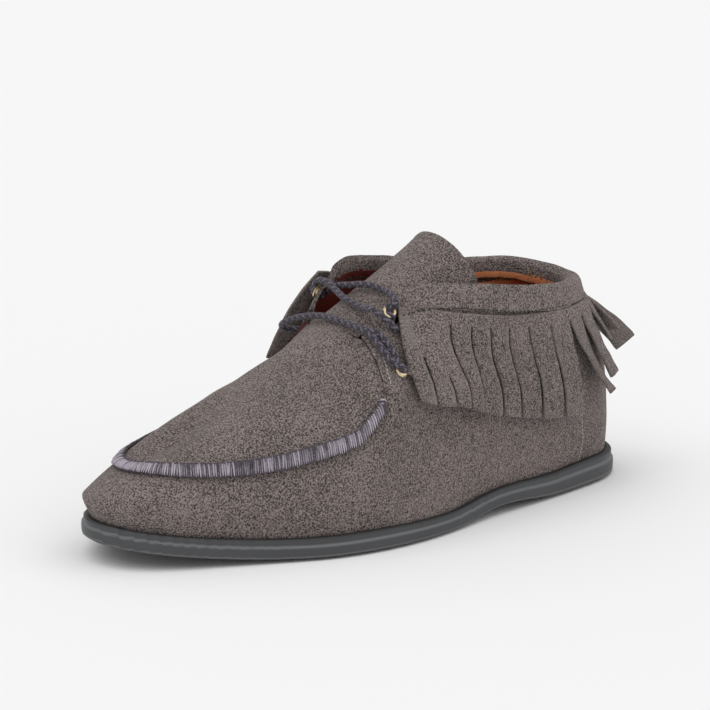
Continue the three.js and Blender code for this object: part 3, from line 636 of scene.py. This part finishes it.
# on the inner side the foremost strip stands off, and its neighbours follow it
FOLLOWING = (4.5, 2.4, 1.0)
inner_strips = [n for n in range(1, strip_count + 1) if hanging[group == n, 0].mean() < -OUTER_SIDE]
inner_strips.sort(key=lambda n: hanging[group == n, 1].mean())
for number, lift in zip(inner_strips[1:4], FOLLOWING):
    own = group == number
    share = rise_between(depth[own], 2 * MM, 14 * MM)[:, None]
    hanging[own] += outwards[own] * lift * share * MM

# %% Puckers and cut edges of the fringe
TUCKED_IN = 1.2 * MM
PUCKERS = 60
PUCKER_DEPTH = 0.25 * MM
hanging -= outwards * (1 - rise_between(depth, 0, 6 * MM))[:, None] * TUCKED_IN
puckered = np.sin(np.arctan2(outwards[:, 1], outwards[:, 0]) * PUCKERS) * PUCKER_DEPTH
hanging += outwards * (puckered * (1 - rise_between(depth, 0, 9 * MM)))[:, None]
waves, fray = lumps(hanging, 7 * MM, 0.5 * MM, 5), lumps(hanging, 2 * MM, 0.2 * MM, 9)
hanging += outwards * waves[:, None] + sideways * fray[:, None]
strips.data.vertices.foreach_set("co", hanging.ravel())
strips.data.update()
RAWNESS = 0.8
rawness = np.zeros(len(hanging))
for face in strips.data.polygons:
    if abs(face.normal.dot(Vector(outwards[face.vertices[0]]))) < 0.45:
        rawness[list(face.vertices)] = RAWNESS
strips.data.attributes.new("raw_edge", "FLOAT", "POINT").data.foreach_set("value", rawness)
print("cut edges have", int((rawness > 0).sum()), "of", len(rawness), "points")
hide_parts("fringe")

# %% [markdown]
# The outsole is moulded rubber. Its copy is rounded off. The mould leaves a ledge a third of the way down
# its side and a fine rib above the tread. Both edges catch the light, so each gets a pale line of painted
# highlight, and painted shadow darkens the joint with the suede. Lines at a fixed height wouldn't do,
# because all three follow the toe's spring. So each point of the mesh carries its share of the side's
# height, which is measured slice by slice along the foot. The insole shows only through the opening, and
# gets the lining darkened with painted shade.

# %% Rubber
# shares of the side's height: two painted highlight lines, and painted shadow at the joint with the suede
LEDGE_HIGHLIGHT_AT, RIM_HIGHLIGHT_AT = 0.66, 0.2
JOINT_SHADOW_FROM, JOINT_SHADOW_TO = 0.86, 0.97


def line_at(share, level, breadth):
    """1 where a share is at a level, 0 further away than breadth."""
    away = share.sum("ABSOLUTE", share - level, 0.0)
    return away.between(breadth, 0.0)


def rubber():
    finish = Finish("rubber_grey", Specular_IOR_Level=0.45)
    grain = finish.noise(0.5 * MM, 2.0, 0.6)
    clouds = finish.noise(20 * MM, 3.0)
    share = finish.stored("side_share")
    body = finish.mixed(clouds * 0.6 + grain * 0.4, (0.038, 0.040, 0.043, 1), (0.076, 0.077, 0.080, 1))
    # painted highlights on the ledge and on the rib above the tread, then painted shadow at the joint
    ledge_highlight = finish.mixed(line_at(share, LEDGE_HIGHLIGHT_AT, 0.09) * 0.45, body, (0.26, 0.27, 0.28, 1))
    rim_highlight = finish.mixed(line_at(share, RIM_HIGHLIGHT_AT, 0.06) * 0.35, ledge_highlight, (0.30, 0.30, 0.31, 1))
    colour = finish.mixed(share.between(JOINT_SHADOW_FROM, JOINT_SHADOW_TO) * 0.85, rim_highlight, (0.012, 0.012, 0.013, 1))
    return finish.wear(colour, clouds * 0.2 + 0.42, grain, 0.08 * MM).material


# %% Sole and insole
sole = piece("rubber_sole", creased(merged("outsole"), 38, 0.85), rubber(), levels=2)
sole_points = points_of(sole.data)
SLICE = 4 * MM
slices = np.round((sole_points[:, 1] - sole_points[:, 1].min()) / SLICE).astype(int)
share = np.zeros(len(sole_points))
for number in np.unique(slices):
    own = slices == number
    heights = sole_points[own, 2]
    share[own] = (heights - heights.min()) / (heights.max() - heights.min())
sole.data.attributes.new("side_share", "FLOAT", "POINT").data.foreach_set("value", share)
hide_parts("outsole")
# the insole gets the lining darkened with painted shade
sock = piece("sock_lining", creased(merged("insole"), 50, 0.8), lining_painted_shade, levels=1)
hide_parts("insole")

# %% [markdown]
# An eyelet is a ring of brass sheet, rolled over the edge of its hole. It could be turned anew with more
# faces, but the CAD rings are already as round as the picture needs. So they stay, and only get polished
# brass with a slight haze from fingers.

# %% Eyelets
def brass():
    finish = Finish("brass_pale", Metallic=1.0)
    haze = finish.noise(1.5 * MM, 2.0)
    colour = finish.mixed(haze, (0.62, 0.48, 0.27, 1), (0.78, 0.66, 0.44, 1))
    return finish.wear(colour, haze * 0.25 + 0.18, haze, 0.01 * MM).material


pale_brass = brass()
EYELETS = ("eyelet_outer_lower", "eyelet_outer_upper", "eyelet_inner_lower", "eyelet_inner_upper")


def finished(node, material):
    """Gives a CAD node its finish."""
    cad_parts[node].data.materials.clear()
    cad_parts[node].data.materials.append(material)


for node in EYELETS:
    finished(node, pale_brass)
print(len(EYELETS), "eyelets in brass")

# %% [markdown]
# The seam round the apron is a satin stitch: hundreds of threads lie side by side across a padded edge. A
# striped relief could stand for them, but real threads catch the light one by one and leave the seam a
# rough outline, so each one is made. First the seam's middle line is found, by dropping plumb lines on the
# CAD seam from above, along rays that fan out from the middle of the apron. Then the line is cut into equal
# steps.

# %% Stations along the seam
def thread(name, dark, light, size):
    """Twisted yarn, whose tone comes from a number on the mesh and from its own fibres."""
    finish = Finish(name, Specular_IOR_Level=0.45, Sheen_Weight=0.2)
    fibre = finish.noise(size, 2.0, 0.6)
    tone = finish.stored("tone") + (fibre - 0.5) * 1.1
    colour = finish.mixed(tone.between(0, 1), dark, light)
    return finish.wear(colour, fibre * 0.2 + 0.42, fibre, 0.1 * MM).material


seam_tree = skin_tree(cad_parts["apron_seam"])
APRON_MIDDLE = Vector((1, -135, 0)) * MM
FAN = 140
SEAM_PITCH = 0.85 * MM
plumb_from = Vector((0, 0, 0.2))


def on_seam(place):
    """The top of the seam under a place of the plan, or None beside it."""
    return seam_tree.ray_cast(Vector((place.x, place.y, 0)) + plumb_from, Vector((0, 0, -1)))[0]


rough_line = []
for degrees in np.arange(-FAN, FAN, 0.75):
    ray = Matrix.Rotation(math.radians(degrees), 3, "Z") @ Vector((0, -1, 0))
    hits = [d for d in np.arange(5 * MM, 95 * MM, 0.4 * MM) if on_seam(APRON_MIDDLE + ray * d)]
    if hits:
        rough_line.append(APRON_MIDDLE + ray * (hits[0] + hits[-1]) / 2)


def evenly(points, step):
    """Points a step apart along a line of points."""
    line = np.array([list(point) for point in points])
    run = np.concatenate([[0], np.cumsum(np.linalg.norm(np.diff(line, axis=0), axis=1))])
    stops = np.arange(0, run[-1], step)
    return [Vector(p) for p in np.stack([np.interp(stops, run, line[:, k]) for k in range(3)], axis=1)]


seam_line = evenly(rough_line, SEAM_PITCH)
print("the seam is", round(len(seam_line) * SEAM_PITCH / MM), "mm long,", len(seam_line), "threads")

# %% [markdown]
# Each thread starts as a small sphere with few faces. It is stretched across the seam and bent over its
# crown: its ends and its middle are found on the seam by plumb lines, and a parabola runs through the
# three. Their lengths differ a little, as the needle pulled, and every third one reaches further over the
# apron. Each thread gets painted shade at its inner end, which turns those longer ends into dark ticks on
# the seam's upper edge, and a painted highlight at its outer end. Along the seam, painted highlights lie at
# its two ends and at the toe.

# %% Satin threads
random.seed(7)
THREAD_THICK = 0.44 * MM
ACROSS_STEP = 0.15 * MM
threads = bmesh.new()
tone_layer = threads.verts.layers.float.new("tone")


def edge_of_seam(start, step):
    """The last place on the seam on the way from start, in small steps."""
    place, last = start.copy(), None
    for _ in range(40):
        found = on_seam(place)
        if found is None:
            break
        last = found
        place = place + step
    return last


def lay_thread(inner, crown, outer, along, tone):
    """One thread over three points, with painted shade at its inner end and painted highlight at its outer.
    """
    over = (outer - inner).cross(along).normalized()
    if over.z < 0:
        over.negate()
    ball = bmesh.ops.create_uvsphere(threads, u_segments=6, v_segments=8, radius=1)["verts"]
    for vertex in ball:
        s = vertex.co.z
        line = inner * (s * (s - 1) / 2) + crown * (1 - s * s) + outer * (s * (s + 1) / 2)
        vertex.co = line + (along * vertex.co.x + over * vertex.co.y) * THREAD_THICK
        # painted highlight towards the outer end, painted shade at the inner end
        vertex[tone_layer] = tone + 0.5 * max(0.0, s - 0.1) - 0.8 * max(0.0, -s - 0.3)


# %% Laying the threads
LEAST_SPAN = 4.6 * MM
CROWN_RISE = 0.25 * MM
TICK = 0.7 * MM
# the threads' own tone and its random spread, and painted highlights at the seam's ends and at the toe
TONE, END_HIGHLIGHT, TOE_HIGHLIGHT, TONE_SPREAD = 0.32, 0.45, 0.35, 0.45
HIGHLIGHT_BREADTH = 0.07
count = len(seam_line)
for k in range(1, count - 1):
    along = (seam_line[k + 1] - seam_line[k - 1]).normalized()
    across = Vector((along.y, -along.x, 0))
    if across.dot(seam_line[k] - APRON_MIDDLE) < 0:
        across.negate()
    small = across * ACROSS_STEP
    inner, outer = edge_of_seam(seam_line[k], -small), edge_of_seam(seam_line[k], small)
    crown = on_seam(seam_line[k])
    if crown is None:
        continue
    if inner is None or outer is None or (inner - outer).length < LEAST_SPAN:
        # the padding thins out at the ends, while the threads stay as long there as elsewhere
        ends = [crown + across * side * LEAST_SPAN / 2 for side in (-1, 1)]
        inner, outer = (wall_tree.find_nearest(end)[0] for end in ends)
    if k % 3 == 0:
        inner = inner - (outer - inner).normalized() * TICK
    crown = crown + Vector((0, 0, CROWN_RISE))
    pull = (outer - crown).normalized() * random.uniform(-0.1, 0.45) * MM
    from_end = min(k, count - k) / count
    from_toe = abs(k / count - 0.5)
    # painted highlights at the seam's two ends and at the toe
    tone_and_highlight = TONE + END_HIGHLIGHT * math.exp(-(from_end / HIGHLIGHT_BREADTH) ** 2)
    tone_and_highlight += TOE_HIGHLIGHT * math.exp(-(from_toe / HIGHLIGHT_BREADTH) ** 2)
    lay_thread(inner, crown, outer + pull, along, tone_and_highlight + random.uniform(-TONE_SPREAD, TONE_SPREAD))
satin = thread("thread_satin", (0.036, 0.027, 0.038, 1), (0.44, 0.385, 0.45, 1), 0.7 * MM)
piece("satin_threads", threads, satin)
finished("apron_seam", Finish("seam_bed", Base_Color=(0.06, 0.048, 0.06, 1), Roughness=0.8).material)

# %% [markdown]
# The laces are round braided cord, 3 mm thick: twelve strands, six of them winding to the right and six to
# the left, over one and under one. A bump could fake them, but the braid shows on the cord's outline, so
# they are real. Every third strand is of a paler yarn, which gives the cord its flecks. The path of each
# strand is a helix whose radius swells and shrinks, so that it crosses over and under the others. The cords
# keep close to the middle lines of the CAD laces, and run on into the eyelets, where their ends go through
# to the inside. They are tied down at both ends, so none is a free cord.

# %% Lace paths
upper_tree = skin_tree(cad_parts["upper"])


def through(node, before, beyond):
    """Two points on the axis of an eyelet: before is in front of it, beyond inside the boot."""
    low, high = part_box(node)
    centre = (low + high) / 2
    way = turned_out(centre, upper_tree.find_nearest(centre)[1])
    return [centre + way * before * MM, centre - way * beyond * MM]


def route(*places):
    """Points given as x, distance forward and z in millimetres."""
    return [Vector((x, -f, z)) * MM for x, f, z in places]


bar = through("eyelet_inner_lower", 1.6, 3)[::-1] + route(
    (-34.6, 105.0, 71.0), (-34.4, 109.4, 72.2), (-30.6, 111.8, 75.0), (-22, 111.6, 78.6), (-15, 111.4, 80.6),
    (-9, 110.4, 81.9), (-2.6, 109.6, 82.6), (4.1, 109.1, 82.6), (10.4, 108.5, 82.2), (16, 108.2, 81.8),
    (22.4, 107.4, 80.9), (25.6, 106.4, 79.2), (29.5, 105.4, 75.9), (32.2, 104.4, 73.2), (34.5, 103.2, 70.6),
) + through("eyelet_outer_lower", 1.5, 3)
strand_beside = route(
    (22.6, 107.0, 80.9), (25.0, 105.2, 81.0), (27.5, 103.6, 79.3), (30.9, 102.3, 75.7), (33.3, 101.6, 73.0),
    (34.9, 101.8, 70.8), (35.2, 101.0, 69.0), (34.2, 99.8, 67.4),
)
crossing = through("eyelet_inner_upper", 1.8, 3)[::-1] + route(
    (-26.0, 98.4, 91.4), (-22.0, 98.6, 92.6), (-16, 98.6, 92.2), (-10, 99.6, 90.6), (-4, 100.8, 89.4),
    (0.6, 101.4, 88.8), (6.6, 101.3, 87.9), (12.2, 101.6, 87.7), (17.2, 102.7, 88.5), (22.0, 102.9, 88.2),
    (25.6, 100.9, 85.9), (27.2, 99.0, 83.4), (27.2, 96.6, 81.2), (25.4, 94.6, 79.4),
)
top_strand = route(
    (-25.5, 94.4, 86.4), (-22.5, 95.0, 88.2), (-18.5, 95.6, 90.0), (-14.5, 95.7, 91.4), (-8, 95.2, 92.6),
    (-4.2, 94.0, 93.4), (0.3, 92.9, 94.0), (4.6, 91.6, 94.0), (10.7, 90.8, 93.3), (15.0, 91.8, 93.3),
    (18.8, 92.7, 92.9), (22.2, 93.7, 91.8), (24.4, 94.6, 90.4),
) + through("eyelet_outer_upper", 1.7, 3)

# %% Braid
STRANDS = 6
BRAID_TURN = 8.0 * MM
STRAND_RADIUS = 0.40 * MM
STRAND_WAVE = 0.24 * MM
LACE_RADIUS = 1.5 * MM
CORE_RADIUS = LACE_RADIUS - 1.9 * STRAND_RADIUS
LACE_STEP = 0.33 * MM
PALE_YARN, DARK_YARN, CORE_YARN = 0.75, 0.1, 0.0


def smoothed(points):
    """A smooth line that runs through all the points."""
    ends = [points[0] * 2 - points[1]] + points + [points[-1] * 2 - points[-2]]
    line = []
    for a, b, c, d in zip(ends, ends[1:], ends[2:], ends[3:]):
        for t in np.arange(0, 1, 0.05):
            bend = (2 * a - 5 * b + 4 * c - d) * t * t + (3 * b - 3 * c + d - a) * t ** 3
            line.append((2 * b + (c - a) * t + bend) / 2)
    return line + [points[-1]]


def strands_of(points):
    """The paths of a braid's strands round a middle line."""
    line = evenly(smoothed(points), LACE_STEP)
    side = (line[1] - line[0]).orthogonal().normalized()
    frames = []
    for k, place in enumerate(line):
        run = (line[min(k + 1, len(line) - 1)] - line[max(k - 1, 0)]).normalized()
        side = (side - run * side.dot(run)).normalized()
        frames.append((place, side, run.cross(side)))
    paths = []
    for hand in (1, -1):
        for n in range(STRANDS):
            path = []
            for k, (place, side, over) in enumerate(frames):
                turned = 2 * math.pi * k * LACE_STEP / BRAID_TURN
                angle = hand * turned + 2 * math.pi * n / STRANDS
                wave = STRAND_WAVE * (hand * math.cos(STRANDS * turned) - 1)
                reach = LACE_RADIUS - STRAND_RADIUS + wave
                path.append(place + (side * math.cos(angle) + over * math.sin(angle)) * reach)
            paths.append(path)
    return line, paths


# %% Cords from strands
def tube_of(path, radius):
    """The mesh of a round tube along a path."""
    curve = bpy.data.curves.new("tube", "CURVE")
    curve.dimensions = "3D"
    curve.bevel_depth = radius
    curve.bevel_resolution = 1
    curve.use_fill_caps = True
    spline = curve.splines.new("POLY")
    spline.points.add(len(path) - 1)
    spline.points.foreach_set("co", [v for place in path for v in (*place, 1)])
    holder = bpy.data.objects.new("tube", curve)
    bpy.context.scene.collection.objects.link(holder)
    mesh = bpy.data.meshes.new_from_object(holder)
    bpy.data.objects.remove(holder)
    return mesh


def cord_piece(name, *runs):
    """A braided lace of several runs."""
    bm = bmesh.new()
    tones = []
    for points in runs:
        line, paths = strands_of(points)
        parts = [(line, CORE_RADIUS, CORE_YARN)]
        parts += [(path, STRAND_RADIUS, DARK_YARN if n % 3 else PALE_YARN) for n, path in enumerate(paths)]
        for path, radius, tone in parts:
            mesh = tube_of(path, radius)
            tones += [tone] * len(mesh.vertices)
            bm.from_mesh(mesh)
            bpy.data.meshes.remove(mesh)
    made = piece(name, bm, braid)
    made.data.attributes.new("tone", "FLOAT", "POINT").data.foreach_set("value", tones)
    return made


braid = thread("cord_braid", (0.013, 0.009, 0.016, 1), (0.18, 0.152, 0.20, 1), 0.55 * MM)
lower_lace = cord_piece("lace_lower_braid", bar, strand_beside)
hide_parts("lace_lower")
upper_lace = cord_piece("lace_upper_braid", crossing, top_strand)
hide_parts("lace_upper")

# %% [markdown]
# Stitches are short capsules, each half sunk in the suede. A texture could draw them, but it would throw no
# shadow into the pile. Their places come from the picture: a line of sight through a point of the picture
# meets the skin where the stitch lies. On the inner side, which no picture shows, the same stitches lie
# mirrored on that side's own skin.

# %% Stitching tools
SAMPLES = 8
INNER_HALF = -8 * MM


def seen_line(pixels, skin=wall_tree, least_x=INNER_HALF):
    """Where a line drawn on the picture lies on a skin, further to the outer side than least_x."""
    found = []
    for (u0, v0), (u1, v1) in zip(pixels, pixels[1:]):
        for t in np.linspace(0, 1, SAMPLES):
            hit = skin.ray_cast(eye, sight(u0 + (u1 - u0) * t, v0 + (v1 - v0) * t))
            if hit[0] is not None and hit[0].x > least_x:
                found.append(hit[0])
    return found


def mirrored(line, skin=wall_tree):
    """The same line on the inner side, where level rays from beside the boot meet the skin."""
    hits = [skin.ray_cast(Vector((-0.1, p.y, p.z)), Vector((1, 0, 0)))[0] for p in line]
    return [hit for hit in hits if hit is not None and hit.x < -INNER_HALF]


def sew(bm, line, stitch, skin=wall_tree):
    """Stitches along a line on a skin, of a pitch, length and thickness in millimetres."""
    pitch, length, thick = stitch
    stops = evenly(line, pitch * MM)
    for start, end in zip(stops, stops[1:]):
        place, normal = skin.find_nearest((start + end) / 2)[:2]
        along = (end - start).normalized()
        across = normal.cross(along).normalized()
        for vertex in bmesh.ops.create_uvsphere(bm, u_segments=6, v_segments=5, radius=1)["verts"]:
            x, y, z = vertex.co
            vertex.co = place + (along * z * length + (across * x + normal * y) * thick) * MM / 2


# %% White and grey stitches
WHITE_STITCH = (1.75, 1.35, 0.5)
GREY_STITCH = (1.3, 0.9, 0.4)
facing_edge = seen_line([(380.5, 348), (383.5, 357), (386, 366), (388.5, 375), (391.5, 386)])
side_seam = seen_line([(581.5, 405), (582, 419.5), (583, 437), (581, 452), (578, 461), (573.6, 467)])
tongue_edge = seen_line([(436, 238), (443, 241), (450, 246), (457, 255), (464.5, 265.5), (471, 274)])
white_stitches = bmesh.new()
for line in (facing_edge, side_seam):
    for side in (line, mirrored(line)):
        sew(white_stitches, side, WHITE_STITCH)
cotton = thread("thread_white", (0.42, 0.40, 0.38, 1), (0.75, 0.73, 0.70, 1), 0.5 * MM)
piece("stitches_white", white_stitches, cotton)
grey_stitches = bmesh.new()
for side in (tongue_edge, mirrored(tongue_edge)):
    sew(grey_stitches, side, GREY_STITCH)
grey_cotton = thread("thread_grey", (0.10, 0.085, 0.08, 1), (0.26, 0.23, 0.22, 1), 0.5 * MM)
piece("stitches_grey", grey_stitches, grey_cotton)

# %% Stitches of band and fringe
# the band is sewn down over the fringe in dark thread, sunk into the pile
DARK_STITCH = (2.1, 1.5, 0.7)
PALE_STITCH = (1.5, 1.0, 0.4)
PINHOLE_SHADE = (0.4, 1.1, 1.1)
fringe_tree = skin_tree(roll, strips)
band_seam = seen_line([
    (402, 315.5), (423, 310.5), (444, 308.5), (464, 308.5), (490, 310), (512, 311.6), (533, 311),
    (553, 307.7), (568, 304.5),
], fringe_tree)
dark_stitches = bmesh.new()
for side in (band_seam, mirrored(band_seam, fringe_tree)):
    sew(dark_stitches, side, DARK_STITCH, fringe_tree)
# a dark stitch stands for a pinhole: painted shade of the hole
sew(dark_stitches, seen_line([(399.8, 409.0), (401.6, 410.2)]), PINHOLE_SHADE)
dark_cotton = thread("thread_dark", (0.015, 0.012, 0.012, 1), (0.05, 0.042, 0.04, 1), 0.5 * MM)
piece("stitches_dark", dark_stitches, dark_cotton)
front_edge = seen_line([(399.5, 332), (403, 345), (407, 358), (410.5, 371), (414, 386)], fringe_tree)
pale_stitches = bmesh.new()
for side in (front_edge, mirrored(front_edge, fringe_tree)):
    sew(pale_stitches, side, PALE_STITCH, fringe_tree)
piece("stitches_pale", pale_stitches, grey_cotton)

# %% Stitches of the lining
# a row of ochre stitches under the collar and a short upright seam, both on the far side of the opening
ROW_STITCH = (1.7, 1.2, 0.4)
SEAM_STITCH = (0.8, 0.7, 0.6)
FAR_SIDE = -60 * MM
inside = skin_tree(suede_upper, roll)
ochre_stitches = bmesh.new()
lining_row = seen_line([(484, 280.5), (504, 277.5), (527, 275), (548, 277)], inside, FAR_SIDE)
upright_seam = seen_line([(528.4, 270), (528.4, 280)], inside, FAR_SIDE)
sew(ochre_stitches, lining_row, ROW_STITCH, inside)
sew(ochre_stitches, upright_seam, SEAM_STITCH, inside)
ochre_cotton = thread("thread_ochre", (0.42, 0.22, 0.07, 1), (0.62, 0.38, 0.14, 1), 0.5 * MM)
piece("stitches_ochre", ochre_stitches, ochre_cotton)

# %% [markdown]
# The floor is plain white paint. A shadow catcher would hide it, but a real floor throws soft light back on
# the sole. It has no gloss, so that the boot doesn't mirror in it.

# %% Floor finish
paper = Finish("floor_white", Base_Color=(0.93, 0.93, 0.93, 1), Roughness=1.0, Specular_IOR_Level=0.0)
floor.data.materials.append(paper.material)
